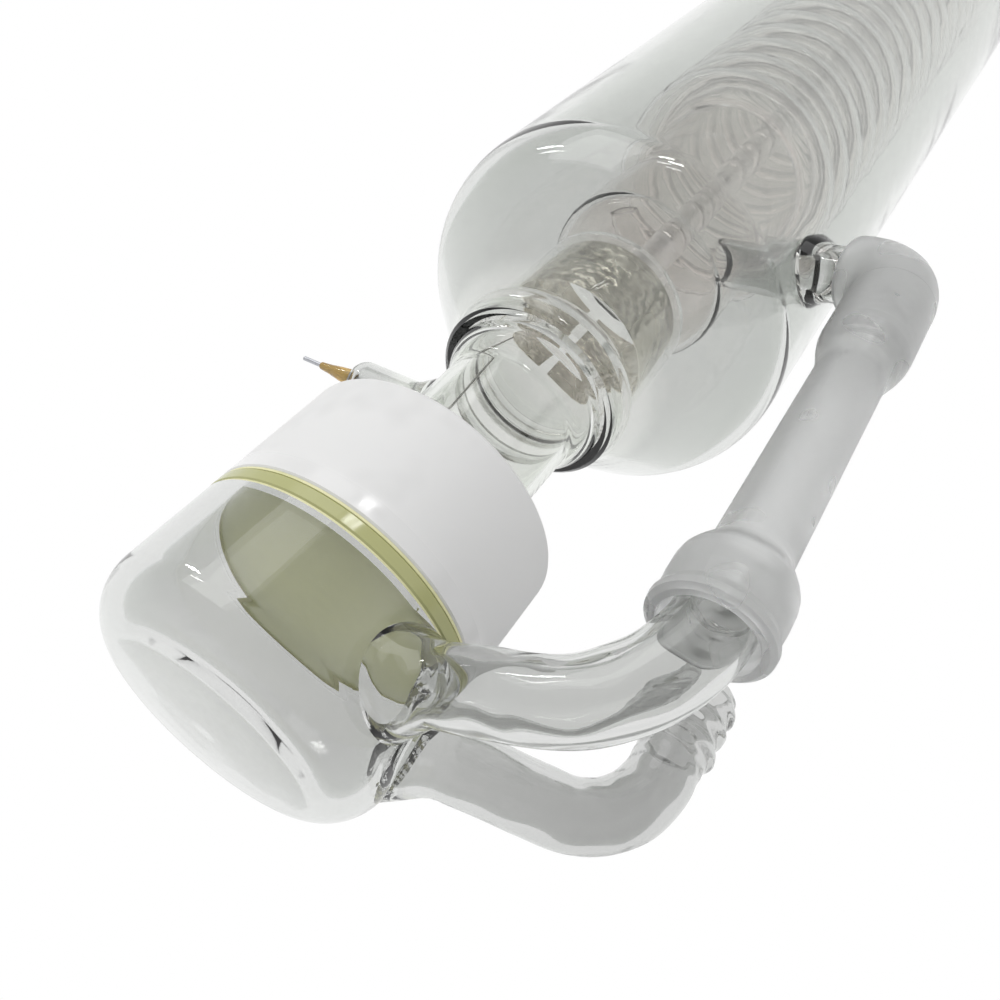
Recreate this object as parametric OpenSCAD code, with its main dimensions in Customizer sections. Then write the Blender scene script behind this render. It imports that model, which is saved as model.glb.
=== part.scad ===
// Sealed glass CO2 laser tube with a water-cooled rear mirror.
// The optical axis is X. The origin is the centre of the output face, the rear
// water cap is at -X, and +Z is up with the tube lying on its envelope and on
// the water inlet elbow.

/* [Overall] */
// Length from the closed end of the water cap to the output face
overall_len = 1250; // [900:50:1600]
// Angle between the bridge hose side and the horizontal, seen along the tube
bridge_turn = 8; // [0:1:20]
// Angle of the water inlet elbow below the horizontal
inlet_turn = 36; // [34:1:44]
// Angle of both electrode arms
arm_turn = 166; // [150:1:190]

/* [Envelope] */
// Outer diameter of the gas envelope
envelope_d = 80; // [70:1:90]
// Wall of the gas envelope
envelope_wall = 2.2; // [1.8:0.1:3]
// Slope of the cone that draws the envelope in to the neck
shoulder_slope = 43; // [38:1:50]

/* [Rear water cap] */
// Outer diameter of the cap, the mirror and both collars
cap_d = 49.2; // [46:0.1:52]
// Length of the cap from its closed end to the mirror
cap_len = 24.5; // [22:0.5:30]
// Wall of the cap
cap_wall = 3; // [2.4:0.1:3.4]
// Thickness of the mirror disc
mirror_t = 2.4; // [2:0.1:3]
// Length of the mirror collar
collar_len = 23.6; // [20:0.2:28]

/* [Necks] */
// Outer diameter of the neck where it enters the collar
neck_d = 27.2; // [25:0.1:29]
// Wall of the neck
neck_wall = 1.8; // [1.5:0.1:2.2]
// Distance from the mirror to the seal between neck and envelope
seal_at = 59; // [57:0.5:62]
// Length of the anode cylinder
anode_len = 17; // [12:1:18]
// Length of the cathode cylinder
cathode_len = 55; // [30:1:80]

/* [Water fittings] */
// Outer diameter of the two elbows on the cap
elbow_d = 11.4; // [10:0.1:12]
// Outer diameter of the nozzle that feeds the jacket
nozzle_d = 10.8; // [10.4:0.1:12]
// Distance from the optical axis to the bridge hose
hose_offset = 58; // [57:0.5:60]
// Outer diameter of the bridge hose where it is not stretched
hose_d = 11; // [10:0.5:12]

/* [Discharge] */
// Outer diameter of the water jacket
jacket_d = 40; // [38:1:42]
// Outer diameter of the bore tube
bore_d = 11; // [9:0.5:12]
// Outer diameter of the gas return tube
return_d = 8.6; // [7:0.2:9]
// Pitch of the gas return coil
return_pitch = 12; // [11:0.5:14]
// Turns of the gas return coil
return_turns = 18; // [4:1:24]
// Diameter of the electrode pins
pin_d = 0.9; // [0.8:0.1:1.2]

/* [Hidden] */
$fn = 72;

bridge_ray = 180 - bridge_turn;                   // turns about +X, measured from +Y
inlet_ray = 180 + inlet_turn;
arm_ray = 180 - arm_turn;
glass = [0.86, 0.88, 0.87, 0.35];
mirror_x = cap_len - overall_len;   // joint between the cap and the mirror
env_r = envelope_d / 2;
cap_r = cap_d / 2;
neck_r = neck_d / 2;
neck_in = neck_r - neck_wall;
elbow_r = elbow_d / 2;
elbow_in = elbow_r - 1.5;
nozzle_r = nozzle_d / 2;
nozzle_in = nozzle_r - 1.2;
jacket_r = jacket_d / 2;
jacket_wall = 1.6;
bore_r = bore_d / 2;
return_r = return_d / 2;
pin_r = pin_d / 2;
stem_r = pin_r + 0.2;                             // the pin where glass holds it
lead_r = pin_r - 0.2;
cement_t = 0.4;
slip = 0.6;                                       // a straight runs this far into its bend
swell = 0.03;                                     // and the bend is blown this much fatter
mirror_back = cement_t + mirror_t;                // far face of the mirror disc
collar_rear = mirror_back + cement_t;             // near face of the collar
collar_end = collar_rear + collar_len;            // rim where the neck leaves it
seat_depth = 15;                                  // how far the neck enters a collar
lip_r = 18.6;                                     // outside of the seal lip
seal_r = lip_r - envelope_wall;                   // neck radius at the seal
seal_end = seal_at + 2.5;                         // where the shoulder leaves the neck
ring_r = 18.1;                                    // ring bead just inside the envelope
sleeve_r = 17;                                    // electrode sleeve, outside
anode_at = 77.5;                                  // near rim of each electrode
sleeve_end = 95.2;
out_sleeve_end = sleeve_end + cathode_len - anode_len;
jacket_at = sleeve_end + 1.6;                     // rear end of the jacket
out_jacket_at = out_sleeve_end + 1.6;
arm_at = 46;                                      // station of each side arm
arm_r = 4.4;
arm_end = 31;                                     // distance from axis to the arm's end
electrode_r = 13.4;
foil = 0.35;
elbow_rise = 0.9;                                 // ridges that grip the hose
nozzle_rise = 0.8;
grip_r = elbow_r + elbow_rise;
fit_r = nozzle_r + nozzle_rise;
inlet_offset = (env_r - grip_r) / sin(inlet_turn); // the inlet's ridges touch the floor
elbow_at = -7;                                    // both elbows leave the cap here
return_lean = 8;
return_end = 20.5;
inlet_lean = 15;
inlet_end = 32;
coil_r = jacket_r + return_r + 0.03;              // the coil rests on the jacket
coil_at = 148;
nozzle_at = 113;                                  // the nozzle leaves the jacket here
nozzle_lean = 20;
nozzle_bend = 13;
nozzle_end = 73;
outlet_at = out_jacket_at + 22;
outlet_end = 66;

// Points [radius, station] along an arc, angles in degrees from the radial direction.
function arc(c, r, a0, a1, n = 8) =
    [for (i = [0:n]) let (a = a0 + (a1 - a0) * i / n) [c[0] + r * cos(a), c[1] + r * sin(a)]];
function back(v) = [for (i = [len(v) - 1:-1:0]) v[i]];
// The same outline seen from the other end of a tube of length l.
function mirrored(v, l) = [for (p = back(v)) [p[0], l - p[1]]];
// Smooth change of radius between two stations.
function flare(x0, x1, r0, r1, n = 6) =
    [for (i = [0:n]) [r0 + (r1 - r0) * (1 - cos(180 * i / n)) / 2, x0 + (x1 - x0) * i / n]];
// A blown shoulder: fillet, cone and knuckle. Arcs on the inside share the outside's
// centres, so inset gives the wall.
function shoulder(r0, r1, a, rf, rk, x0, inset = 0) =
    let (xc = x0 + rf * sin(a) + (r1 - rk * (1 - cos(a)) - r0 - rf * (1 - cos(a))) / tan(a))
    concat(arc([r0 + rf, x0], rf + inset, 180, 180 - a),
        arc([r1 - rk, xc + rk * sin(a)], rk - inset, -a, 0, 12));
// The last stretch of a glass hose end that stops at station x: rounded ridges of this
// rise on radius r, each with a short level crest, then a softened rim.
function hose_end(r, rise, x, ridges, pitch = 4.2, crest = 0.8) = concat(
    [for (k = [ridges:-1:1], i = [0:7]) let (j = i > 3 ? i - 1 : i)
        [r + rise * pow(sin(30 * j), 2),
            x - 1.3 - pitch * k + (4 - crest) * j / 6 + (i > 3 ? crest : 0)]],
    [[r, x - 0.8], [r - 0.7, x]]);
// Where a leaning ray through radius r at station x leaves the optical axis.
function foot(x, r, lean) = x - r * tan(lean);

// Revolves a [radius, station] outline round the optical axis. Stations count from
// the mirror joint toward the output.
module spin(points) translate([mirror_x, 0, 0]) rotate([0, 90, 0])
    rotate_extrude() polygon(points);
// The same for the output half, where stations count from the output face inward.
module spin_out(points) rotate([0, -90, 0]) rotate_extrude() polygon(points);
// A solid rod along the optical axis, for cutting.
module rod(r, x0, x1) translate([mirror_x + x0, 0, 0]) rotate([0, 90, 0]) cylinder(r = r, h = x1 - x0);
module tube(r_out, r_in, len) difference() {
    cylinder(r = r_out, h = len);
    translate([0, 0, -1]) cylinder(r = r_in, h = len + 2);
}
// Puts +Z on the ray that leaves the optical axis at station x and at this turn,
// leaning by lean degrees toward +X. Stations count from the output face, or from the
// mirror joint under at_mirror.
module on_ray(x, turn, lean = 0) translate([x, 0, 0]) rotate([turn, 0, 0])
    rotate([-90, 0, 0]) rotate([0, lean, 0]) children();
module at_mirror() translate([mirror_x, 0, 0]) children();

// A glass tube's root where it is sealed to a wall: a fillet of radius f that runs on
// below the wall as a 60 degree skirt, as [radius, height above the wall].
function weld(r, f, deep) = concat(
    [[r + f * (1 - cos(30)) + (f / 2 + deep) * tan(30), -deep]],
    arc([r + f, f], f, -150, -180, 5));

// A water elbow. It leaves a cylinder of radius from_r at station x, leans toward its
// own end by lean degrees, turns onto a line parallel with the axis at offset, and runs
// toward the output (dir 1) or the rear (dir -1). root outlines its foot as [radius,
// height above the wall], and tip its end as [radius, distance from x].
module elbow_path(r, from_r, x, lean, offset, bend, turn, dir, root, tip) {
    rise = offset - bend * (1 - sin(lean));        // where the bend starts
    run = (rise - from_r) / cos(lean);
    bend_x = run * sin(lean) + bend * cos(lean);   // where the bend ends
    at_mirror() translate([x, 0, 0]) rotate([turn, 0, 0]) rotate([0, dir > 0 ? 0 : 180, 0]) {
        translate([0, from_r, 0]) rotate([0, 0, -lean]) rotate([-90, 0, 0]) rotate_extrude()
            polygon(concat([[0, root[0][1]]], root, [[r, run + slip], [0, run + slip]]));
        translate([bend_x, offset - bend, 0])
            rotate_extrude(angle = 90 - lean, start = 90) translate([bend, 0]) circle(r + swell);
        translate([0, offset, 0]) rotate([0, 90, 0]) rotate_extrude()
            polygon(concat([[0, bend_x - slip], [r, bend_x - slip]], tip, [[0, tip[len(tip) - 1][1]]]));
    }
}

module rear_cap() color(glass) difference() {
    knuckle = 9;
    at = [cap_r - knuckle, knuckle - cap_len + 0.6];
    spin(concat([[0, -cap_len], [9, -cap_len + 0.2]], arc(at, knuckle, -82, 0),
        [[cap_r, 0], [cap_r - cap_wall, 0]], arc(at, knuckle - cap_wall, 0, -82),
        [[9, -cap_len + 0.2 + cap_wall], [0, -cap_len + cap_wall]]));
    for (e = [[bridge_ray, return_lean], [inlet_ray, inlet_lean]])
        at_mirror() on_ray(foot(elbow_at, cap_r, e[1]), e[0], e[1])
            translate([0, 0, cap_r - 8]) cylinder(r = elbow_in, h = 20);
}

module cap_elbow(turn, lean, offset, bend, x_end, ridges) difference() {
    reach = x_end - elbow_at;
    elbow_path(elbow_r, cap_r, elbow_at, lean, offset, bend, turn, 1,
        weld(elbow_r, 5, 3), hose_end(elbow_r, elbow_rise, reach, ridges));
    elbow_path(elbow_in, cap_r, elbow_at, lean, offset, bend, turn, 1,
        [[elbow_in, -8]], [[elbow_in, reach + 1]]);
    rod(cap_r, -cap_len, 10);
}
module cap_inlet_elbow() color(glass)
    cap_elbow(inlet_ray, inlet_lean, inlet_offset, 16, inlet_end, 3);
module cap_return_elbow() color(glass)
    cap_elbow(bridge_ray, return_lean, hose_offset, 18, return_end, 1);

module cap_cement() color([0.80, 0.79, 0.45])
    spin([[cap_r - cap_wall, 0], [cap_r - 0.15, 0], [cap_r - 0.15, cement_t], [cap_r - cap_wall, cement_t]]);
module rear_mirror() color([0.70, 0.72, 0.42]) spin([[0, cement_t], [cap_r - 0.3, cement_t],
    [cap_r, cement_t + 0.3], [cap_r, mirror_back - 0.3], [cap_r - 0.3, mirror_back], [0, mirror_back]]);
module collar_cement() color([0.86, 0.84, 0.50])
    spin([[neck_in, mirror_back], [cap_r - 0.15, mirror_back], [cap_r - 0.15, collar_rear], [neck_in, collar_rear]]);
module mirror_collar() color([0.93, 0.93, 0.92])
    spin(concat([[neck_in, collar_rear], [cap_r - 0.4, collar_rear], [cap_r, collar_rear + 0.4]],
        arc([cap_r - 1.2, collar_end - 1.2], 1.2, 0, 90, 5),
        [[neck_r + 1, collar_end], [neck_r, collar_end - 1],
        [neck_r, collar_end - seat_depth], [neck_in, collar_end - seat_depth]]));

// Neck and electrode sleeve in one drawn tube: straight in the collar, flared to the
// envelope seal, with a ring bead just inside the envelope.
function neck_outline(end) = let (x0 = collar_end - seat_depth, w = neck_wall) concat(
    [[neck_in, x0], [neck_r, x0]], flare(seal_at - 6.5, seal_at, neck_r, seal_r),
    [[seal_r, ring_at - 1.4]], arc([ring_r - 1.1, ring_at], 1.1, -80, 80, 6),
    [[sleeve_r, ring_at + 2], [sleeve_r, end - 0.9]],
    arc([sleeve_r - w / 2, end - w / 2], w / 2, 0, 180, 6),
    back(concat(flare(seal_at - 6.5, seal_at, neck_in, seal_r - w),
        [[seal_r - w, ring_at - 1.4], [sleeve_r - w, ring_at + 1.6]])));
ring_at = seal_end + 6.3;
module rear_neck() color(glass) neck(sleeve_end, 1);
module output_neck() color(glass) neck(out_sleeve_end, 0);
module neck(end, rear) difference() {
    if (rear) spin(neck_outline(end)); else spin_out(neck_outline(end));
    if (rear) at_mirror() on_ray(arm_at, arm_ray) cylinder(r = arm_r - 1.2, h = 30);
    else on_ray(-arm_at, arm_ray) cylinder(r = arm_r - 1.2, h = 30);
}

module electrode(len) rotate_extrude(angle = 350)
    translate([electrode_r - foil, 0]) square([foil, len]);
module anode_cylinder() color([0.62, 0.58, 0.52]) translate([mirror_x + anode_at, 0, 0])
    rotate([arm_ray + 40, 0, 0]) rotate([0, 90, 0]) electrode(anode_len);
module cathode_cylinder() color([0.62, 0.58, 0.52]) translate([-anode_at, 0, 0])
    rotate([arm_ray + 40, 0, 0]) rotate([0, -90, 0]) electrode(cathode_len);

// A wire from the pin's inner end, along the neck, welded to the electrode's rim.
module lead() {
    bend = 3; climb = 5.4; lap = 0.15;
    rim = anode_at - arm_at;                       // the electrode's rim, from the pin
    run = rim - bend * (1 + sin(climb));
    turn_z = electrode_r - foil / 2 + bend * cos(climb) - run * tan(climb);
    translate([0, 0, turn_z - lap]) cylinder(r = lead_r, h = arm_end - 4 - turn_z + lap);
    translate([bend, 0, turn_z]) rotate([90, 0, 0])
        rotate_extrude(angle = 90 + climb, start = 180) translate([bend, 0]) circle(lead_r + 0.01);
    difference() {
        translate([bend * (1 + sin(climb)), 0, turn_z - bend * cos(climb)]) rotate([0, 90 - climb, 0])
            translate([0, 0, -lap]) cylinder(r = lead_r, h = run / cos(climb) + lap + 1);
        translate([rim, -5, 0]) cube([10, 10, 20]);
    }
}
module anode_lead() color([0.55, 0.54, 0.52]) at_mirror() on_ray(arm_at, arm_ray) lead();
module cathode_lead() color([0.55, 0.54, 0.52]) on_ray(-arm_at, arm_ray) rotate([0, 0, 180]) lead();

// The arm in which the electrode pin is sealed: a flared root and a rounded end.
module side_arm() difference() {
    translate([0, 0, neck_r]) rotate_extrude() polygon(concat([[0, -3]], weld(arm_r, 4, 3),
        arc([arm_r - 3.2, arm_end - neck_r - 3.2], 3.2, 0, 90), [[0, arm_end - neck_r]]));
    rotate_extrude() polygon(concat([[0, 0], [arm_r - 1.2, 0]],
        arc([arm_r - 3.2, arm_end - 3.2], 2, 0, 90), [[0, arm_end - 1.2]]));
    translate([0, 0, arm_end - 3]) cylinder(r = stem_r, h = 6);
    translate([-20, 0, 0]) rotate([0, 90, 0]) cylinder(r = neck_r, h = 40);
}
module anode_side_arm() color(glass) at_mirror() on_ray(arm_at, arm_ray) side_arm();
module cathode_side_arm() color(glass) on_ray(-arm_at, arm_ray) side_arm();

bead_len = 8.1;
module bead() translate([0, 0, arm_end]) rotate_extrude() polygon([[stem_r, 0], [1.5, 0],
    [1.65, 1.2], [1.45, 3], [1.0, 5.6], [0.75, bead_len - 0.2], [stem_r, bead_len]]);
module anode_bead() color([0.80, 0.58, 0.20]) at_mirror() on_ray(arm_at, arm_ray) bead();
module cathode_bead() color([0.80, 0.58, 0.20]) on_ray(-arm_at, arm_ray) bead();
module pin() translate([0, 0, arm_end - 4]) {
    cylinder(r = stem_r, h = bead_len + 4);
    cylinder(r = pin_r, h = bead_len + 8.4);
}
module anode_pin() color([0.52, 0.53, 0.55]) at_mirror() on_ray(arm_at, arm_ray) pin();
module cathode_pin() color([0.52, 0.53, 0.55]) on_ray(-arm_at, arm_ray) pin();

module envelope() color(glass) {
    half = concat([[lip_r - 0.8, seal_at], [lip_r, seal_at + 0.8]],
        shoulder(lip_r, env_r, shoulder_slope, 5, 16, seal_end));
    wall = concat([[seal_r, seal_at]],
        shoulder(lip_r, env_r, shoulder_slope, 5, 16, seal_end, envelope_wall));
    total = overall_len - cap_len;
    difference() {
        spin(concat(half, mirrored(half, total), back(concat(wall, mirrored(wall, total)))));
        jacket_feed(nozzle_r);
        outlet_bar(nozzle_r);
    }
}

// The nozzle's leaning feed tube, from inside the jacket to outside the envelope.
module jacket_feed(r, low = 4, high = 24)
    at_mirror() on_ray(foot(nozzle_at, jacket_r, -nozzle_lean), bridge_ray, -nozzle_lean)
        translate([0, 0, jacket_r / cos(nozzle_lean) - low]) cylinder(r = r, h = low + high);
module outlet_bar(r) on_ray(-outlet_at, bridge_ray) translate([0, 0, jacket_r - 3])
    cylinder(r = r, h = outlet_end);

module nozzle_path(r, root, tip) elbow_path(r, jacket_r, nozzle_at, nozzle_lean, hose_offset,
    nozzle_bend, bridge_ray, -1, root, tip);
module jacket_nozzle() color(glass) {
    gap = (env_r - jacket_r) / cos(nozzle_lean);   // jacket to envelope, along the feed
    difference() {
        union() {
            difference() {
                nozzle_path(nozzle_r, [for (p = weld(nozzle_r, 5, 3)) p + [0, gap]],
                    hose_end(nozzle_r, nozzle_rise, nozzle_at - nozzle_end, 3));
                rod(env_r, 80, 140);
            }
            jacket_feed(nozzle_r, 3, gap + 3);
        }
        nozzle_path(nozzle_in, [[nozzle_in, -8]], [[nozzle_in, nozzle_at - nozzle_end + 1]]);
        rod(jacket_r, 80, 140);
    }
}

// Soft hose, pushed over the whole bend of the jacket nozzle at one end and over the
// ridges of the cap's return elbow at the other. It swells over both.
hose_rise = hose_offset - nozzle_bend * (1 - sin(nozzle_lean));
hose_bend_x = nozzle_at - (hose_rise - jacket_r) * tan(nozzle_lean) - nozzle_bend * cos(nozzle_lean);
module hose_path(points, r) at_mirror() rotate([bridge_ray, 0, 0]) {
    translate([0, hose_offset, 0]) rotate([0, 90, 0]) rotate_extrude()
        polygon(concat([[0, points[0][1]]], points, [[0, points[len(points) - 1][1]]]));
    translate([hose_bend_x, hose_offset - nozzle_bend, 0])
        rotate_extrude(angle = 90 - nozzle_lean, start = nozzle_lean)
            translate([nozzle_bend, 0]) circle(r + swell);
}
module bridge_hose() color([0.84, 0.85, 0.85, 0.6]) difference() {
    r = hose_d / 2; stretched = fit_r + 1.2; lip_x = 10.4;
    hose_path(concat([[grip_r + 1, lip_x], [grip_r + 1.7, lip_x + 0.6], [grip_r + 1.8, lip_x + 1.6],
        [grip_r + 1.3, lip_x + 2.8], [grip_r + 1.5, 16]], flare(18.8, 25.6, grip_r + 1.5, r),
        flare(66, 76, r, stretched), [[stretched, hose_bend_x + slip]]), stretched);
    hose_path(concat([[grip_r, lip_x - 1]], flare(20.8, 23.4, grip_r, r - 2),
        flare(68.4, 72.8, r - 2, fit_r), [[fit_r, hose_bend_x + slip]]), fit_r);
    // the mouth is cut square to the nozzle, just past the bend
    at_mirror() rotate([bridge_ray, 0, 0]) translate([hose_bend_x, hose_offset - nozzle_bend, 0])
        rotate_extrude(angle = 2, start = nozzle_lean - 2 + 0.5) translate([nozzle_bend, 0])
            circle(fit_r + 3);
}

// One end of the jacket: a lip on the bore tube, then a steep shoulder.
function jacket_end(x, inset) = concat([[bore_r + jacket_wall - inset, x]],
    shoulder(bore_r + jacket_wall, jacket_r, 75, 2, 6, x + 1.5, inset));
module water_jacket() color(glass) {
    total = overall_len - cap_len;
    difference() {
        spin(concat(jacket_end(jacket_at, 0), mirrored(jacket_end(out_jacket_at, 0), total),
            back(concat(jacket_end(jacket_at, jacket_wall),
                mirrored(jacket_end(out_jacket_at, jacket_wall), total)))));
        jacket_feed(nozzle_in, 8, 10);
        on_ray(-outlet_at, bridge_ray) cylinder(r = nozzle_in, h = 30);
    }
}
module bore_tube() color(glass) translate([mirror_x + jacket_at - 5, 0, 0]) rotate([0, 90, 0])
    tube(bore_r, bore_r - 1.5, overall_len - cap_len - jacket_at - out_jacket_at + 10);

// One half turn of the coil is a half ring, tilted so that it climbs half a pitch. The
// neighbours meet on one circle with one direction, and the even ones run into the odd.
module coil_path(r) {
    big = sqrt(pow(coil_r, 2) + pow(return_pitch / 4, 2));
    lap = 1.4;
    for (i = [0:2 * return_turns - 1])
        translate([0, 0, (i + 0.5) * return_pitch / 2]) rotate([0, asin(return_pitch / 4 / big), 180 * i])
            rotate_extrude(angle = 180 + (i % 2 ? 0 : 2 * lap), start = i % 2 ? 0 : -lap)
                translate([big, 0]) circle(r + (i % 2 ? 0.02 : 0));
    for (tail = [0, 1]) translate([coil_r, tail ? -slip : 0, tail * return_turns * return_pitch])
        rotate([tail ? -90 : 90, 0, 0]) cylinder(r = r + (tail ? 0 : 0.03), h = 9);
}
module gas_return_coil() color(glass) at_mirror() translate([coil_at, 0, 0]) rotate([0, 90, 0])
    difference() {
        coil_path(return_r);
        coil_path(return_r - 1);
        for (tail = [0, 1]) translate([coil_r, tail ? 8 : -8, tail * return_turns * return_pitch])
            rotate([tail ? -90 : 90, 0, 0]) cylinder(r = return_r + 1, h = 2);
    }

module outlet_nozzle() color(glass) difference() {
    union() {
        on_ray(-outlet_at, bridge_ray) translate([0, 0, jacket_r - 3])
            cylinder(r = nozzle_r, h = env_r - jacket_r + 5);
        difference() {
            on_ray(-outlet_at, bridge_ray) rotate_extrude() polygon(concat([[0, env_r - 3]],
                [for (p = weld(nozzle_r, 5, 3)) p + [0, env_r]],
                hose_end(nozzle_r, nozzle_rise, outlet_end, 3), [[0, outlet_end]]));
            translate([-outlet_at - 20, 0, 0]) rotate([0, 90, 0]) cylinder(r = env_r, h = 40);
        }
    }
    on_ray(-outlet_at, bridge_ray) cylinder(r = nozzle_in, h = outlet_end + 1);
    translate([-outlet_at - 20, 0, 0]) rotate([0, 90, 0]) cylinder(r = jacket_r, h = 40);
}

// The output collar holds the coupler in a shallow front recess.
coupler_r = 12.5;
coupler_t = 3;
recess = 4.7;
module output_collar() color([0.93, 0.93, 0.92]) spin_out(concat(
    [[coupler_r + 0.4, 0]], arc([cap_r - 1.2, 1.2], 1.2, -90, 0, 5),
    arc([cap_r - 1.2, collar_end - 1.2], 1.2, 0, 90, 5),
    [[neck_r + 1, collar_end], [neck_r, collar_end - 1], [neck_r, collar_end - seat_depth],
    [9, collar_end - seat_depth], [9, recess], [coupler_r, recess], [coupler_r, 0.4]]));
module coupler_cement() color([0.86, 0.84, 0.50]) spin_out([[9, recess - 0.2], [coupler_r, recess - 0.2],
    [coupler_r, recess], [9, recess]]);
module output_coupler() color([0.85, 0.62, 0.20]) spin_out([[0, recess - 0.2], [coupler_r, recess - 0.2],
    [coupler_r, recess - coupler_t], [coupler_r - 0.2, recess - coupler_t - 0.2], [0, recess - coupler_t - 0.2]]);

rear_cap();
cap_inlet_elbow();
cap_return_elbow();
cap_cement();
rear_mirror();
collar_cement();
mirror_collar();
rear_neck();
anode_cylinder();
anode_lead();
anode_side_arm();
anode_bead();
anode_pin();
envelope();
jacket_nozzle();
bridge_hose();
water_jacket();
bore_tube();
gas_return_coil();
outlet_nozzle();
output_neck();
cathode_cylinder();
cathode_lead();
cathode_side_arm();
cathode_bead();
cathode_pin();
output_collar();
output_coupler();
coupler_cement();
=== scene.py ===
"""Looks of a sealed glass gas laser tube: materials, blown-glass detail, light and camera."""
import math

import bpy
from mathutils import Matrix, Vector


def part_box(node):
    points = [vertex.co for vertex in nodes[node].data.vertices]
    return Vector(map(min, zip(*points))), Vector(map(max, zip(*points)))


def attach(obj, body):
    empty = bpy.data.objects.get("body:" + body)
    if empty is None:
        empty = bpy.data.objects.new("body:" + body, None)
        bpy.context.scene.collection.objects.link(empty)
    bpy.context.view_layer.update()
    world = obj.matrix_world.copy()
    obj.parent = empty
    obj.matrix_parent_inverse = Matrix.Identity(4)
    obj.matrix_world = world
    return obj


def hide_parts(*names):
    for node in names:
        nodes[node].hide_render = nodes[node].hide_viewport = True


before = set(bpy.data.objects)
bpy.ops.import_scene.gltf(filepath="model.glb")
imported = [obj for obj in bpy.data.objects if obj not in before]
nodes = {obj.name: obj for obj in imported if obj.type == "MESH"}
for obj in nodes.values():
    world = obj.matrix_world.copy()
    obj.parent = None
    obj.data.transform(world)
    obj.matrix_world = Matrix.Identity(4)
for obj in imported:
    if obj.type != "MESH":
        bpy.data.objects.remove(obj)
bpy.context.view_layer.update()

MM = 0.001
LENGTH = 1225.5             # from the mirror joint to the output face, in millimetres
JOINT_X = -LENGTH * MM


# --- node helpers -----------------------------------------------------------------

def new_material(name):
    mat = bpy.data.materials.new(name)
    mat.use_nodes = True
    tree = mat.node_tree
    tree.nodes.clear()
    return mat, tree


def add(tree, kind, **settings):
    """Adds a node. Settings name its properties; those with a leading _ are inputs."""
    node = tree.nodes.new(kind)
    for key, value in settings.items():
        if key.startswith("_"):
            node.inputs[key[1:].replace("_", " ")].default_value = value
        else:
            setattr(node, key, value)
    return node


def link(tree, out, into):
    tree.links.new(out, into)


def put(tree, value, socket):
    """Links an output to a socket, or writes a number or a colour on it."""
    if isinstance(value, tuple):
        socket.default_value = (*value, 1.0)
    elif isinstance(value, (int, float)):
        socket.default_value = value
    else:
        link(tree, value, socket)


def maths(tree, operation, *values):
    node = add(tree, "ShaderNodeMath", operation=operation)
    for value, socket in zip(values, node.inputs):
        put(tree, value, socket)
    return node.outputs[0]


def smooth(tree, value, start, stop, first=0.0, last=1.0):
    """Eases from first to last while the value runs from start to stop."""
    node = add(tree, "ShaderNodeMapRange", interpolation_type="SMOOTHSTEP", _From_Min=start,
               _From_Max=stop, _To_Min=first, _To_Max=last)
    link(tree, value, node.inputs["Value"])
    return node.outputs["Result"]


def blend_colour(tree, fac, first, second, how="MIX"):
    mix = add(tree, "ShaderNodeMix", data_type="RGBA", blend_type=how)
    for name, value in (("Factor", fac), ("A", first), ("B", second)):
        put(tree, value, mix.inputs[name])
    return mix.outputs["Result"]


def ramp(tree, fac, *stops):
    """A colour that follows a value through (position, colour) stops."""
    node = add(tree, "ShaderNodeValToRGB")
    while len(node.color_ramp.elements) < len(stops):
        node.color_ramp.elements.new(0.5)
    for element, (pos, colour) in zip(node.color_ramp.elements, stops):
        element.position = pos
        element.color = (*colour, 1.0)
    link(tree, fac, node.inputs["Fac"])
    return node.outputs["Color"]


def grey(v):
    return (v, v, v)


# --- shared effects ---------------------------------------------------------------

def waviness_group():
    """The slow ripple of glass that was worked in a flame, as a height."""
    group = bpy.data.node_groups.new("Flame ripple", "ShaderNodeTree")
    face = group.interface
    for name, kind in (("Vector", "NodeSocketVector"), ("Scale", "NodeSocketFloat"),
                       ("Fine", "NodeSocketFloat")):
        face.new_socket(name=name, in_out="INPUT", socket_type=kind)
    for name in ("Height", "Mottle"):
        face.new_socket(name=name, in_out="OUTPUT", socket_type="NodeSocketFloat")
    ins = group.nodes.new("NodeGroupInput")
    outs = group.nodes.new("NodeGroupOutput")
    finer = maths(group, "MULTIPLY", ins.outputs["Scale"], 5.0)
    slow, fine = (add(group, "ShaderNodeTexNoise", _Detail=0.0) for _ in range(2))
    for node, scale in ((slow, ins.outputs["Scale"]), (fine, finer)):
        link(group, ins.outputs["Vector"], node.inputs["Vector"])
        link(group, scale, node.inputs["Scale"])
    height = maths(group, "MULTIPLY_ADD", fine.outputs["Fac"], ins.outputs["Fine"],
                   slow.outputs["Fac"])
    link(group, height, outs.inputs["Height"])
    link(group, slow.outputs["Fac"], outs.inputs["Mottle"])
    return group


RIPPLE = waviness_group()


def ripple(tree, scale, fine=0.25):
    coords = add(tree, "ShaderNodeTexCoord")
    node = add(tree, "ShaderNodeGroup", node_tree=RIPPLE)
    node.inputs["Scale"].default_value = scale
    node.inputs["Fine"].default_value = fine
    link(tree, coords.outputs["Object"], node.inputs["Vector"])
    return node.outputs["Height"], node.outputs["Mottle"]


def finish_shader(tree, shader, colour, roughness, height, relief):
    """Joins colour, roughness and relief to a shader, and the shader to the surface."""
    out = add(tree, "ShaderNodeOutputMaterial")
    bump = add(tree, "ShaderNodeBump", _Strength=1.0, _Distance=relief)
    link(tree, height, bump.inputs["Height"])
    for name, value in (("Base Color", colour), ("Roughness", roughness),
                        ("Normal", bump.outputs["Normal"])):
        put(tree, value, shader.inputs[name])
    link(tree, shader.outputs["BSDF"], out.inputs["Surface"])


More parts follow.
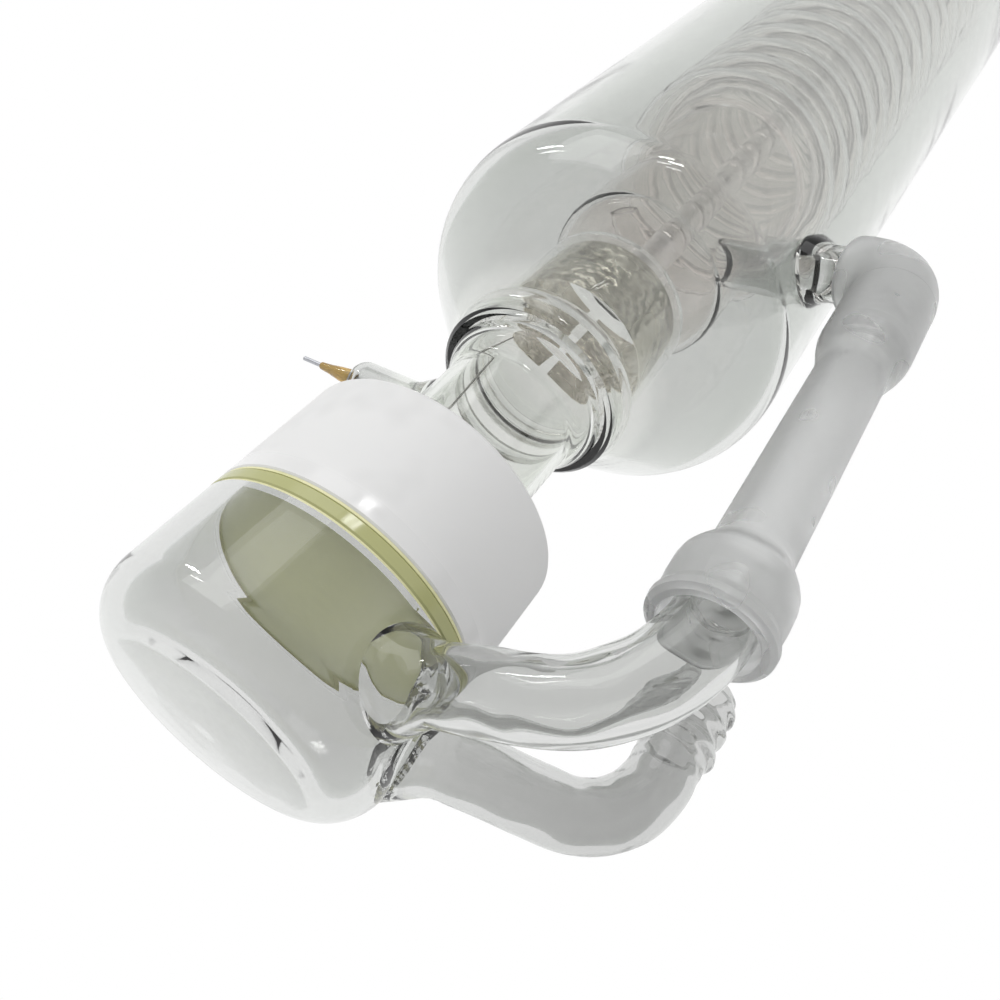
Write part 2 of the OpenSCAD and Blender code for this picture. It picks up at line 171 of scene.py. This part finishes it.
def glass(name, tint, edge, roughness=0.0, rough2=None, scale=30.0, bump=0.0004, ior=1.47,
          transmission=1.0, drift=0.03, inner=False, shade_below=None, rim=None):
    """Clear worked glass: deeper at grazing angles, faintly mottled, with a slow ripple."""
    mat, tree = new_material(name)
    shader = add(tree, "ShaderNodeBsdfPrincipled", _IOR=ior, _Metallic=0.0)
    shader.inputs["Transmission Weight"].default_value = transmission
    height, mottle = ripple(tree, scale)
    facing = add(tree, "ShaderNodeLayerWeight", _Blend=0.5).outputs["Facing"]
    depth = ramp(tree, facing, (0.25, tint), (0.95, edge))
    mottled = ramp(tree, mottle, (0.3, grey(1.0 - drift)), (0.7, grey(1.0)))
    colour = blend_colour(tree, 1.0, depth, mottled, "MULTIPLY")
    if inner:
        colour = inner_glass(tree, colour, facing)
    # Painted shade: darker toward the bottom of the piece.
    if shade_below:
        colour = painted_low_shade(tree, colour, shade_below)
    if rim:
        colour = rim_tint(tree, colour, rim)
    colour = blend_colour(tree, deep_ray(tree), colour, grey(1.0))
    matt = roughness
    if rough2:
        matt = ramp(tree, mottle, (0.35, grey(roughness)), (0.75, grey(rough2)))
    finish_shader(tree, shader, colour, matt, height, bump)
    return mat


def deep_ray(tree, depth=13.0):
    """1 for a ray that has already crossed many walls, where more tint would only turn black."""
    path = add(tree, "ShaderNodeLightPath")
    return maths(tree, "GREATER_THAN", path.outputs["Ray Depth"], depth)


def rim_tint(tree, colour, shade):
    """The cut edge of the mirror disc is deeper in colour than its face."""
    _, out = axis_place(tree)
    return blend_colour(tree, smooth(tree, out, 22.8 * MM, 24.1 * MM), colour, shade, "MULTIPLY")


def painted_low_shade(tree, colour, share):
    """Painted shade: the glass is darker toward its lowest part, standing in for the shade and contact
    shadow under the tube.
    """
    coords = add(tree, "ShaderNodeTexCoord")
    split = add(tree, "ShaderNodeSeparateXYZ")
    link(tree, coords.outputs["Object"], split.inputs[0])
    depth = smooth(tree, split.outputs["Z"], -34.0 * MM, -4.0 * MM, 1.0, 0.0)
    return blend_colour(tree, depth, colour, grey(share), "MULTIPLY")


def axis_place(tree):
    """Distance along the optical axis and out from it."""
    coords = add(tree, "ShaderNodeTexCoord")
    split = add(tree, "ShaderNodeSeparateXYZ")
    link(tree, coords.outputs["Object"], split.inputs[0])
    flat = add(tree, "ShaderNodeVectorMath", operation="MULTIPLY")
    flat.inputs[1].default_value = (0.0, 1.0, 1.0)
    link(tree, coords.outputs["Object"], flat.inputs[0])
    out = add(tree, "ShaderNodeVectorMath", operation="LENGTH")
    link(tree, flat.outputs["Vector"], out.inputs[0])
    return split.outputs["X"], out.outputs["Value"]


def near_station(tree, along, place, reach):
    """1 at a station of the tube, fading to 0 at reach from it."""
    off = maths(tree, "SUBTRACT", along, JOINT_X + place * MM)
    return smooth(tree, maths(tree, "ABSOLUTE", off), 0.0, reach * MM, 1.0, 0.0)


def inner_glass(tree, colour, facing):
    """Neck, jacket and bore are thinner and paler than the envelope; the jacket is a little
    warmer near its rear end."""
    along, out = axis_place(tree)
    pale = ramp(tree, facing, (0.3, (0.965, 0.965, 0.955)), (0.95, (0.90, 0.92, 0.885)))
    neck = ramp(tree, facing, (0.3, (0.79, 0.80, 0.78)), (0.95, (0.83, 0.895, 0.79)))
    warm = near_station(tree, along, 138.0, 45.0)
    jacket = blend_colour(tree, warm, pale, (0.94, 0.89, 0.88), "MULTIPLY")
    tinted = blend_colour(tree, near_station(tree, along, 30.0, 62.0), jacket, neck)
    inside = smooth(tree, out, 20.2 * MM, 24.0 * MM, 1.0, 0.0)
    lip = near_station(tree, along, 60.0, 7.0)
    return blend_colour(tree, maths(tree, "MAXIMUM", inside, lip), colour, tinted)


def solid(name, dark, light, roughness, scale=60.0, bump=0.0001, metallic=0.0, glazed=None):
    """An opaque finish whose colour, roughness and relief drift a little."""
    mat, tree = new_material(name)
    shader = add(tree, "ShaderNodeBsdfPrincipled", _Metallic=metallic)
    height, mottle = ripple(tree, scale, fine=0.5)
    colour = ramp(tree, height, (0.35, dark), (0.7, light))
    matt = ramp(tree, mottle, (0.3, grey(roughness)), (0.7, grey(roughness + 0.08)))
    if glazed:
        along, _ = axis_place(tree)
        matt = blend_colour(tree, near_station(tree, along, *glazed), matt, grey(0.12))
    finish_shader(tree, shader, colour, matt, height, bump)
    return mat


# --- blown glass shapes -----------------------------------------------------------
# Sizes here are in millimetres. Stations count from the mirror joint toward the output.
# Turns are angles round the axis, in degrees from +Y.

CAP_R, CAP_BORE = 24.6, 21.6
ELBOW_R, WATER_BORE = 5.7, 4.2
NOZZLE_R, NOZZLE_RISE = 5.4, 0.8
NECK_R, NECK_BORE = 13.6, 11.8
SLEEVE_R, SLEEVE_BORE = 17.0, 15.2
ENVELOPE_R, ENVELOPE_BORE = 40.0, 37.8
JACKET_R, JACKET_BORE = 20.0, 18.4
ARM_R, ARM_BORE, ARM_DOME = 4.4, 3.2, 3.2
HOSE_OFFSET, HOSE_TURN = 58.0, 172.0
INLET_OFFSET, INLET_TURN = 56.824, 216.0
ARM_AT, ARM_TURN = 46, 14
FEED_AT, OUTLET_AT = 113.0, LENGTH - 156.8


def ray(turn):
    """Direction straight out from the axis at a turn."""
    return Vector((0.0, math.cos(math.radians(turn)), math.sin(math.radians(turn))))


def station(x):
    """Point on the optical axis."""
    return Vector((JOINT_X / MM + x, 0, 0))


def band(first, second, sides):
    """Faces between two rings of points, given by their numbers."""
    faces = []
    for k in range(sides):
        n = (k + 1) % sides
        faces.append((first * sides + k, first * sides + n, second * sides + n, second * sides + k))
    return faces


def closed(name, verts, sides):
    """A solid from its rings in order, with a flat end on the first and the last."""
    rings = len(verts) // sides
    faces = [face for i in range(rings - 1) for face in band(i, i + 1, sides)]
    faces.append(tuple(range(sides))[::-1])
    faces.append(tuple(range((rings - 1) * sides, rings * sides)))
    return make(name, verts, faces)


def make(name, verts, faces):
    """A mesh object in the scene."""
    mesh = bpy.data.meshes.new(name)
    mesh.from_pydata([tuple(v) for v in verts], [], faces)
    mesh.validate()
    piece = bpy.data.objects.new(name, mesh)
    bpy.context.scene.collection.objects.link(piece)
    return piece


def swept(name, centres, radii, sides=56, wave=None):
    """A closed solid of round sections along a path. wave(i, angle) scales a radius."""
    tangents = [(centres[min(i + 1, len(centres) - 1)] - centres[max(i - 1, 0)]).normalized()
                for i in range(len(centres))]
    across = tangents[0].orthogonal().normalized()
    verts = []
    for i, (c, t, r) in enumerate(zip(centres, tangents, radii)):
        across = (across - t * across.dot(t)).normalized()
        other = t.cross(across)
        for k in range(sides):
            a = 2 * math.pi * k / sides
            scale = wave(i, a) if wave else 1.0
            verts.append((c + (across * math.cos(a) + other * math.sin(a)) * r * scale) * MM)
    return closed(name, verts, sides)


def lathe(name, outline, sides=128):
    """A closed solid turned round the optical axis from (radius, station) points."""
    return closed(name, [(station(x) + ray(360 * k / sides) * max(r, 0.02)) * MM
                         for r, x in outline for k in range(sides)], sides)


def combine(piece, others, operation):
    """Joins solids to a piece, or cuts them out of it, and drops them."""
    for other in others:
        step = piece.modifiers.new("step", "BOOLEAN")
        step.operation = operation
        step.solver = "EXACT"
        step.object = other
        done = piece.evaluated_get(bpy.context.evaluated_depsgraph_get())
        mesh = bpy.data.meshes.new_from_object(done)
        piece.modifiers.clear()
        piece.data = mesh
        bpy.data.objects.remove(other)
    return piece


def finish_piece(piece, mat, replaced, sharp=35.0):
    """Gives a piece its material, shading and body, and hides the nodes it stands for."""
    mesh = piece.data
    mesh.materials.clear()
    mesh.materials.append(mat)
    for face in mesh.polygons:
        face.use_smooth = True
        face.material_index = 0
    mesh.set_sharp_from_angle(angle=math.radians(sharp))
    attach(piece, "root")
    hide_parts(*replaced)


def elbow_line(x, start, lean, offset, bend, turn, way, end, below, beyond=0.0):
    """Centre line of an elbow, as points and their heights above the wall it leaves."""
    tilt = math.radians(lean)
    run = (offset - bend * (1 - math.sin(tilt)) - start) / math.cos(tilt)
    turn_x = run * math.sin(tilt) + bend * math.cos(tilt)
    flat = []
    count = 22
    for i in range(count):
        t = -below + (run + below) * i / count
        flat.append((t * math.sin(tilt), start + t * math.cos(tilt), t))
    for i in range(count):
        a = math.pi - tilt + (math.pi / 2 - math.pi + tilt) * i / count
        flat.append((turn_x + bend * math.cos(a), offset - bend + bend * math.sin(a),
                     run + bend * (math.pi - tilt - a)))
    length = (end - x) * way - turn_x + beyond
    for i in range(49):
        flat.append((turn_x + length * i / 48, offset,
                     run + bend * (math.pi / 2 - tilt) + length * i / 48))
    points = [station(x + way * px) + ray(turn) * pr for px, pr, _ in flat]
    return points, [h for _, _, h in flat]


def root_flare(h, f=5.0):
    """How much wider a tube is near the wall it is sealed to."""
    if h >= f:
        return 0.0
    if h >= f / 2:
        return f - math.sqrt(f * f - (f - h) ** 2)
    return 0.134 * f + (f / 2 - h) * 0.577


def ridge(back, rise, count, pitch=4.2, crest=0.8):
    """Height of the hose ridges at this distance back from a tube's end."""
    for k in range(1, count + 1):
        at = 1.3 + pitch * k - back
        if 0.0 <= at <= 4.0:
            half = (4.0 - crest) / 2
            share = min(at, 4.0 - at, half) / half
            return rise * math.sin(share * math.pi / 2) ** 2
    return 0.7 * (0.8 - back) / -0.8 if back < 0.8 else 0.0


def hand_made(seed, depth):
    """Slow unevenness of a tube drawn and bent by hand. It never makes the tube wider."""
    def wave(i, a):
        lumps = (math.sin(0.31 * i + seed) * math.sin(2 * a + 0.07 * i + seed)
                 + 0.6 * math.sin(0.83 * i + 2.1 * seed) * math.cos(3 * a - seed))
        return 1.0 - depth * (0.8 + 0.5 * lumps)
    return wave


def cap_elbow(name, lean, offset, bend, turn, end, ridges, seed):
    """Solid outside and bore of one of the cap's two elbows."""
    route = dict(x=-7.0, start=CAP_R, lean=lean, offset=offset, bend=bend, turn=turn, way=1, end=end)
    line, heights = elbow_line(**route, below=2.6)
    total = heights[-1]
    radii = [ELBOW_R + root_flare(h) + ridge(total - h, 0.9, ridges) for h in heights]
    outside = swept(name, line, radii, wave=hand_made(seed, 0.028))
    line, heights = elbow_line(**route, below=7.0, beyond=2.0)
    flared = [WATER_BORE + 0.85 * root_flare(max(h, -1.6)) for h in heights]
    bore = swept(name + "_bore", line, flared, wave=hand_made(seed + 1.7, 0.06))
    return outside, bore


def arc_points(centre, r, first, last, count=16):
    """Points on an arc of an outline, between two angles in degrees."""
    return [(centre[0] + r * math.cos(math.radians(first + (last - first) * i / count)),
             centre[1] + r * math.sin(math.radians(first + (last - first) * i / count)))
            for i in range(count + 1)]


def cap_glass():
    """The blown water cap with both elbows, one skin of glass inside and out."""
    knuckle = (15.6, -14.9)
    outside = lathe("cap_glass", [(0.0, -24.5), (9.0, -24.3), *arc_points(knuckle, 9.0, -82, 0),
                                  (CAP_R, 0.0)])
    inside = lathe("hollow", [(0.0, -21.5), (9.0, -21.3), *arc_points(knuckle, 6.0, -82, 0),
                              (CAP_BORE, 1.0)])
    upper, upper_bore = cap_elbow("upper_elbow", lean=8, offset=HOSE_OFFSET, bend=18.0,
                                  turn=HOSE_TURN, end=20.5, ridges=1, seed=0.4)
    lower, lower_bore = cap_elbow("lower_elbow", lean=15, offset=INLET_OFFSET, bend=16.0,
                                  turn=INLET_TURN, end=32.0, ridges=3, seed=2.9)
    combine(outside, [upper, lower], "UNION")
    combine(outside, [inside, upper_bore, lower_bore], "DIFFERENCE")
    return outside


def assign(mat, *names):
    """Gives a material to CAD pieces that keep their own meshes."""
    for name in names:
        for slot in nodes[name].material_slots:
            slot.material = mat


def shoulder(r0, r1, slope, fillet, knuckle, x0, inset=0.0):
    """The blown step between two diameters: fillet, cone and knuckle."""
    a = math.radians(slope)
    xc = x0 + fillet * math.sin(a) + (r1 - knuckle * (1 - math.cos(a)) - r0
                                      - fillet * (1 - math.cos(a))) / math.tan(a)
    return (arc_points((r0 + fillet, x0), fillet + inset, 180, 180 - slope, 10)
            + arc_points((r1 - knuckle, xc + knuckle * math.sin(a)), knuckle - inset, -slope, 0, 16))


def flare(x0, x1, r0, r1, n=10):
    """A smooth change of radius between two stations."""
    return [(r0 + (r1 - r0) * (1 - math.cos(math.pi * i / n)) / 2, x0 + (x1 - x0) * i / n)
            for i in range(n + 1)]


# Rings along the straight part, close together where a nozzle is sealed in.
LEVELS = ([*range(104, 140, 2)] + [*range(160, 1030, 60)] + [*range(1045, 1092, 2)])


def both_ends(half, r):
    """Runs an end's outline along the tube and back down the same way at the far end."""
    return (half + [(r, x) for x in LEVELS if half[-1][1] + 1 < x < LENGTH - half[-1][1] - 1]
            + [(q, LENGTH - x) for q, x in reversed(half)])


def shell(name, outer, inner, sides=128):
    """A glass wall between two outlines, closed at both rims."""
    rows = outer + inner[::-1]
    verts = [(station(x) + ray(360 * k / sides) * r) * MM for r, x in rows for k in range(sides)]
    faces = [face for i in range(len(rows)) for face in band(i, (i + 1) % len(rows), sides)]
    return make(name, verts, faces)


def neck_shell(name, end, flip):
    """A drawn neck, its ring bead and the sleeve round the electrode, at either end."""
    outer = ([(NECK_R, 11.8)] + flare(52.5, 59, NECK_R, 16.45) + [(16.45, 66.3)]
             + arc_points((SLEEVE_R, 67.8), 1.1, -80, 80, 10)
             + [(SLEEVE_R, 69.8), (SLEEVE_R, end - 0.9)]
             + arc_points((16.1, end - 0.9), 0.9, 0, 90, 6))
    inner = ([(NECK_BORE, 11.8)] + flare(52.5, 59, NECK_BORE, 14.6)
             + [(14.6, 66.4), (SLEEVE_BORE, 69.4), (SLEEVE_BORE, end - 0.9)])
    if flip:
        outer, inner = ([(r, LENGTH - x) for r, x in side] for side in (outer, inner))
    return shell(name, outer, inner)


def stub(name, x, turn, radii_heights):
    """A round solid standing on the axis at a station: (radius, distance) points."""
    line = [station(x) + ray(turn) * h for _, h in radii_heights]
    return swept(name, line, [r for r, _ in radii_heights])


def domed(r, top, step):
    """The round end of a side arm: (radius, distance) points up to its top."""
    return [(1.2 + r * math.cos(math.radians(a)), top - ARM_DOME + r * math.sin(math.radians(a)))
            for a in range(0, 91, step)]


def side_arm(name, x):
    """The small hollow arm in which a pin is sealed."""
    top = 31.0
    heights = (11.9, 12.6, 13.2, 13.8, 14.4, 15, 15.6, 16.2, 16.9, 17.6, 22)
    arm = stub(name, x, ARM_TURN, [(ARM_R + root_flare(h - NECK_R, 4.0), h) for h in heights]
               + domed(ARM_DOME, top, 10))
    hollow = stub(name + "_hollow", x, ARM_TURN, [(ARM_BORE, h) for h in (9.0, 16, top - ARM_DOME)]
                  + domed(2, top, 15))
    return combine(arm, [hollow], "DIFFERENCE")


def body_glass():
    """Envelope, necks, arms, jacket, bore tube and nozzles, sealed together as one glass."""
    step = dict(r0=18.6, r1=ENVELOPE_R, slope=43, fillet=5, knuckle=16, x0=61.5)
    env_out = both_ends([(17.8, 59.0), (18.6, 59.8)] + shoulder(**step), ENVELOPE_R)
    env_in = both_ends([(16.4, 59.0)] + shoulder(**step, inset=2.2), ENVELOPE_BORE)
    body = shell("glass_body", env_out, env_in)
    step = dict(r0=7.1, r1=JACKET_R, slope=75, fillet=2, knuckle=6, x0=98.3)
    jac_out = both_ends([(7.1, 96.8)] + shoulder(**step), JACKET_R)
    jac_in = both_ends([(5.5, 96.8)] + shoulder(**step, inset=1.6), JACKET_BORE)
    jacket_wall = shell("jacket", jac_out, jac_in)
    bore_wall = shell("bore", [(5.55, 91.8), (5.55, 1133.7)], [(4.0, 91.8), (4.0, 1133.7)], 48)
    rear, far = neck_shell("rear", 95.2, False), neck_shell("far", 133.2, True)
    arm, arm2 = side_arm("arm", ARM_AT), side_arm("arm2", LENGTH - ARM_AT)
    lean = 20
    route = dict(x=FEED_AT, start=JACKET_R, lean=lean, offset=HOSE_OFFSET, bend=13.0,
                 turn=HOSE_TURN, way=-1, end=73.0)
    line, heights = elbow_line(**route, below=3.0)
    gap, total = JACKET_R / math.cos(math.radians(lean)), heights[-1]
    radii = [NOZZLE_R + root_flare(abs(h - gap)) + ridge(total - h, NOZZLE_RISE, 3) for h in heights]
    feed = swept("feed", line, radii, wave=hand_made(1.1, 0.01))
    line, _ = elbow_line(**route, below=8.0, beyond=2.0)
    feed_bore = swept("feed_bore", line, [WATER_BORE] * len(line), wave=hand_made(2.3, 0.03))
    end = 66.0
    heights = [16 + 0.5 * i for i in range(99)] + [65.2, end]
    outlet = stub("outlet", OUTLET_AT, HOSE_TURN,
                  [(NOZZLE_R + root_flare(abs(h - ENVELOPE_R)) + ridge(end - h, NOZZLE_RISE, 3), h)
                   for h in heights])
    outlet_bore = stub("outlet_bore", OUTLET_AT, HOSE_TURN, [(WATER_BORE, 10), (WATER_BORE, 68)])
    for nozzle, x in ((feed, 105), (outlet, OUTLET_AT)):
        core = lathe("core", [(19.6, x - 40), (19.6, x + 40)])
        combine(nozzle, [core], "DIFFERENCE")
    combine(body, [rear, far, arm, arm2, jacket_wall, bore_wall, feed, outlet], "UNION")
    combine(body, [feed_bore, outlet_bore], "DIFFERENCE")
    return body


# --- the gas return coil ----------------------------------------------------------

def coil_tree():
    """A wound hollow tube: two skins on one helix, each turn a little uneven."""
    tree = bpy.data.node_groups.new("Wound coil", "GeometryNodeTree")
    face = tree.interface
    face.new_socket(name="Geometry", in_out="INPUT", socket_type="NodeSocketGeometry")
    for name in ("Turns", "Pitch", "Radius", "Tube", "Wall", "Unevenness", "Seed"):
        face.new_socket(name=name, in_out="INPUT", socket_type="NodeSocketFloat")
    face.new_socket(name="Material", in_out="INPUT", socket_type="NodeSocketMaterial")
    face.new_socket(name="Geometry", in_out="OUTPUT", socket_type="NodeSocketGeometry")
    ins = tree.nodes.new("NodeGroupInput")
    outs = tree.nodes.new("NodeGroupOutput")

    spiral = add(tree, "GeometryNodeCurveSpiral", _Resolution=52)
    height = maths(tree, "MULTIPLY", ins.outputs["Turns"], ins.outputs["Pitch"])
    for name, value in (("Rotations", ins.outputs["Turns"]), ("Start Radius", ins.outputs["Radius"]),
                        ("End Radius", ins.outputs["Radius"]), ("Height", height)):
        link(tree, value, spiral.inputs[name])
    noise = add(tree, "ShaderNodeTexNoise", noise_dimensions="4D", _Scale=45.0, _Detail=1.0)
    link(tree, ins.outputs["Seed"], noise.inputs["W"])
    place = add(tree, "GeometryNodeInputPosition")
    link(tree, place.outputs[0], noise.inputs["Vector"])
    centred = maths(tree, "SUBTRACT", noise.outputs["Fac"], 0.5)
    shift = maths(tree, "MULTIPLY", centred, ins.outputs["Unevenness"])
    along = add(tree, "ShaderNodeCombineXYZ")
    link(tree, maths(tree, "MULTIPLY", shift, 4.0), along.inputs["Z"])
    moved = add(tree, "GeometryNodeSetPosition")
    link(tree, spiral.outputs["Curve"], moved.inputs["Geometry"])
    link(tree, along.outputs[0], moved.inputs["Offset"])
    join = add(tree, "GeometryNodeJoinGeometry")
    for inner in (False, True):
        radius, path = ins.outputs["Tube"], moved.outputs[0]
        if inner:               # a little shorter, so that the two skins' ends stay apart
            radius = maths(tree, "SUBTRACT", radius, ins.outputs["Wall"])
            trim = add(tree, "GeometryNodeTrimCurve", mode="FACTOR")
            link(tree, path, trim.inputs["Curve"])
            for name, value in (("Start", 0.0005), ("End", 0.9995)):
                [i for i in trim.inputs if i.name == name and i.enabled][0].default_value = value
            path = trim.outputs[0]
        ring = add(tree, "GeometryNodeCurvePrimitiveCircle", _Resolution=20)
        link(tree, radius, ring.inputs["Radius"])
        tube = add(tree, "GeometryNodeCurveToMesh", _Fill_Caps=True)
        link(tree, path, tube.inputs["Curve"])
        link(tree, ring.outputs[0], tube.inputs["Profile Curve"])
        skin = tube.outputs[0]
        if inner:
            turned = add(tree, "GeometryNodeFlipFaces")
            link(tree, skin, turned.inputs["Mesh"])
            skin = turned.outputs[0]
        link(tree, skin, join.inputs[0])
    whole = add(tree, "GeometryNodeRealizeInstances")
    link(tree, join.outputs[0], whole.inputs[0])
    paint = add(tree, "GeometryNodeSetMaterial")
    link(tree, whole.outputs[0], paint.inputs["Geometry"])
    link(tree, ins.outputs["Material"], paint.inputs["Material"])
    link(tree, paint.outputs[0], outs.inputs[0])
    return tree


def wound_coil(mat):
    """The coil as a mesh, laid on the jacket from its first turn's station."""
    tree = coil_tree()
    base = bpy.data.objects.new("gas_coil_base", bpy.data.meshes.new("gas_coil_base"))
    bpy.context.scene.collection.objects.link(base)
    wound = base.modifiers.new("wound", "NODES")
    wound.node_group = tree
    values = {"Turns": 18.0, "Pitch": 12.0 * MM, "Radius": 24.3 * MM, "Tube": 4.25 * MM,
              "Wall": 1.0 * MM, "Unevenness": 0.3 * MM, "Seed": 3.0, "Material": mat}
    for item in tree.interface.items_tree:
        if item.in_out == "INPUT" and item.name in values:
            wound[item.identifier] = values[item.name]
    done = base.evaluated_get(bpy.context.evaluated_depsgraph_get())
    mesh = bpy.data.meshes.new_from_object(done)
    bpy.data.objects.remove(base)
    turn = Matrix(((0, 0, 1), (1, 0, 0), (0, 1, 0))).to_4x4()
    mesh.transform(Matrix.Translation((JOINT_X + 148 * MM, 0, 0)) @ turn)
    mesh.name = "gas_coil"
    piece = bpy.data.objects.new("gas_coil", mesh)
    bpy.context.scene.collection.objects.link(piece)
    finish_piece(piece, mat, ("gas_return_coil",), sharp=60)


# --- materials and pieces ---------------------------------------------------------

# The cap glass has painted shade toward its lowest part.
cap_mat = glass("Cap glass", (0.75, 0.755, 0.745), (0.65, 0.68, 0.65), scale=28.0, bump=0.00016,
                shade_below=0.80)
body_mat = glass("Envelope glass", (0.745, 0.752, 0.742), (0.70, 0.735, 0.69), scale=22.0, bump=0.0001,
                 inner=True)
coil_glass = glass("Coil glass", (0.97, 0.965, 0.955), (0.88, 0.87, 0.86), scale=60.0)
wound_coil(coil_glass)
finish_piece(body_glass(), body_mat,
             ("envelope", "rear_neck", "output_neck", "anode_side_arm", "cathode_side_arm",
              "jacket_nozzle", "outlet_nozzle", "water_jacket", "bore_tube"))
finish_piece(cap_glass(), cap_mat, ("rear_cap", "cap_inlet_elbow", "cap_return_elbow"))
assign(solid("White collar", (0.77, 0.77, 0.765), (0.82, 0.82, 0.815), 0.55, bump=0.00008,
             glazed=(5.0, 4.0)), "mirror_collar", "output_collar")
assign(solid("Electrode foil", (0.36, 0.33, 0.28), (0.76, 0.73, 0.65), 0.22, scale=110.0,
             bump=0.0012, metallic=1.0), "anode_cylinder", "cathode_cylinder")
assign(solid("Lead wire", (0.35, 0.34, 0.33), (0.55, 0.54, 0.52), 0.35, metallic=1.0,
             scale=300.0), "anode_lead", "cathode_lead")
assign(solid("Pin wire", (0.30, 0.31, 0.33), (0.50, 0.51, 0.54), 0.35, metallic=1.0,
             scale=300.0), "anode_pin", "cathode_pin")
assign(glass("Amber bead", (0.88, 0.62, 0.22), (0.70, 0.38, 0.08), scale=200.0, rough2=0.1,
             transmission=0.6), "anode_bead", "cathode_bead")
assign(glass("Output coupler", (0.90, 0.66, 0.20), (0.80, 0.55, 0.15), scale=80.0, ior=2.4),
       "output_coupler")
assign(solid("Cement", (0.70, 0.70, 0.36), (0.82, 0.80, 0.48), 0.45, scale=150.0),
       "cap_cement", "collar_cement", "coupler_cement")
assign(glass("Mirror coating", (0.97, 0.98, 0.60), (0.93, 0.95, 0.52), scale=60.0, roughness=0.1,
             rough2=0.25, transmission=0.1, rim=(0.55, 0.55, 0.42)), "rear_mirror")
assign(glass("Silicone hose", (0.945, 0.95, 0.945), (0.86, 0.87, 0.86), scale=120.0, roughness=0.27,
             rough2=0.40, ior=1.41, transmission=0.76, drift=0.04, bump=0.0002), "bridge_hose")


# --- floor, light and camera ------------------------------------------------------

def seen_ray(tree):
    """1 for camera, glossy and transmission rays, which meet plain white."""
    path = add(tree, "ShaderNodeLightPath").outputs
    first = maths(tree, "MAXIMUM", path["Is Camera Ray"], path["Is Glossy Ray"])
    return maths(tree, "MAXIMUM", first, path["Is Transmission Ray"])


def make_floor():
    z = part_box("envelope")[0].z - 0.0002
    mesh = bpy.data.meshes.new("floor")
    size = 12.0
    mesh.from_pydata([(-size, -size, z), (size, -size, z), (size, size, z), (-size, size, z)],
                     [], [(0, 1, 2, 3)])
    floor = bpy.data.objects.new("floor", mesh)
    bpy.context.scene.collection.objects.link(floor)
    mat, tree = new_material("Floor")
    out = add(tree, "ShaderNodeOutputMaterial")
    paper = add(tree, "ShaderNodeBsdfDiffuse", _Color=(0.9, 0.9, 0.9, 1.0))
    glow = add(tree, "ShaderNodeEmission", _Color=(1.0, 1.0, 1.0, 1.0), _Strength=1.0)
    mix = add(tree, "ShaderNodeMixShader")
    link(tree, seen_ray(tree), mix.inputs["Fac"])
    link(tree, paper.outputs[0], mix.inputs[1])
    link(tree, glow.outputs[0], mix.inputs[2])
    link(tree, mix.outputs[0], out.inputs["Surface"])
    mesh.materials.append(mat)


def make_world():
    world = bpy.data.worlds.new("Studio")
    bpy.context.scene.world = world
    world.use_nodes = True
    tree = world.node_tree
    tree.nodes.clear()
    out = add(tree, "ShaderNodeOutputWorld")
    fill = add(tree, "ShaderNodeBackground", _Color=(1.0, 1.0, 1.0, 1.0), _Strength=0.68)
    seen = add(tree, "ShaderNodeBackground", _Strength=1.0)
    coords = add(tree, "ShaderNodeTexCoord")
    split = add(tree, "ShaderNodeSeparateXYZ")
    link(tree, coords.outputs["Generated"], split.inputs[0])
    sky = ramp(tree, split.outputs["Z"], (0.0, grey(1.0)), (0.25, grey(1.0)), (0.7, grey(0.55)))
    path = add(tree, "ShaderNodeLightPath")
    room = blend_colour(tree, path.outputs["Is Camera Ray"], sky, grey(1.0))
    link(tree, room, seen.inputs["Color"])
    mix = add(tree, "ShaderNodeMixShader")
    link(tree, seen_ray(tree), mix.inputs["Fac"])
    link(tree, fill.outputs[0], mix.inputs[1])
    link(tree, seen.outputs[0], mix.inputs[2])
    link(tree, mix.outputs[0], out.inputs["Surface"])


def area(name, place, target, size, power):
    data = bpy.data.lights.new(name, "AREA")
    data.shape = "RECTANGLE"
    data.size, data.size_y = size
    data.energy = power
    lamp = bpy.data.objects.new(name, data)
    lamp.location = place
    lamp.rotation_mode = "QUATERNION"
    lamp.rotation_quaternion = (Vector(target) - Vector(place)).to_track_quat("-Z", "Y")
    lamp.visible_camera = False
    bpy.context.scene.collection.objects.link(lamp)


def make_camera():
    data = bpy.data.cameras.new("camera")
    data.sensor_width = 36.0
    data.lens = 30.80
    data.clip_start, data.clip_end = 0.005, 60.0
    camera = bpy.data.objects.new("camera", data)
    right = Vector((0.532, -0.8209, -0.2047)).normalized()
    back = Vector((-0.582, -0.5303, 0.6160)).normalized()
    up = back.cross(right).normalized()
    right = up.cross(back)
    pose = Matrix((right, up, back)).transposed().to_4x4()
    pose.translation = Vector((-1276.36, -87.39, 86.86)) * MM
    camera.matrix_world = pose
    bpy.context.scene.collection.objects.link(camera)
    bpy.context.scene.camera = camera


def strips(name, target, toward, distance=1.3, gap=0.05, size=(0.03, 0.2), power=0.6):
    """A pair of parallel strip lights, seen as twin dashes in the glass."""
    aim = Vector(target)
    way = Vector(toward).normalized()
    side = way.cross(Vector((1, 0, 0))).normalized()
    for k, sign in enumerate((-1, 1)):
        area(f"{name} {k}", aim + way * distance + side * gap * sign, aim, size, power)


make_floor()
make_world()
strips("right strips", (-1.2, 0, 0), (0.507, -0.288, 0.817))
strips("left strips", (-1.2, -0.04, 0), (0.19, 0.57, 0.80))
area("soft top", (-0.7, 0.4, 1.9), (-0.8, 0, 0), (1.8, 1.2), 9.5)
make_camera()

scene = bpy.context.scene
scene.view_settings.view_transform = "Standard"
scene.cycles.max_bounces = 24              # a ray crosses many walls of glass
scene.cycles.transmission_bounces = 24
scene.cycles.glossy_bounces = 12
scene.cycles.diffuse_bounces = 2
scene.cycles.use_light_tree = False
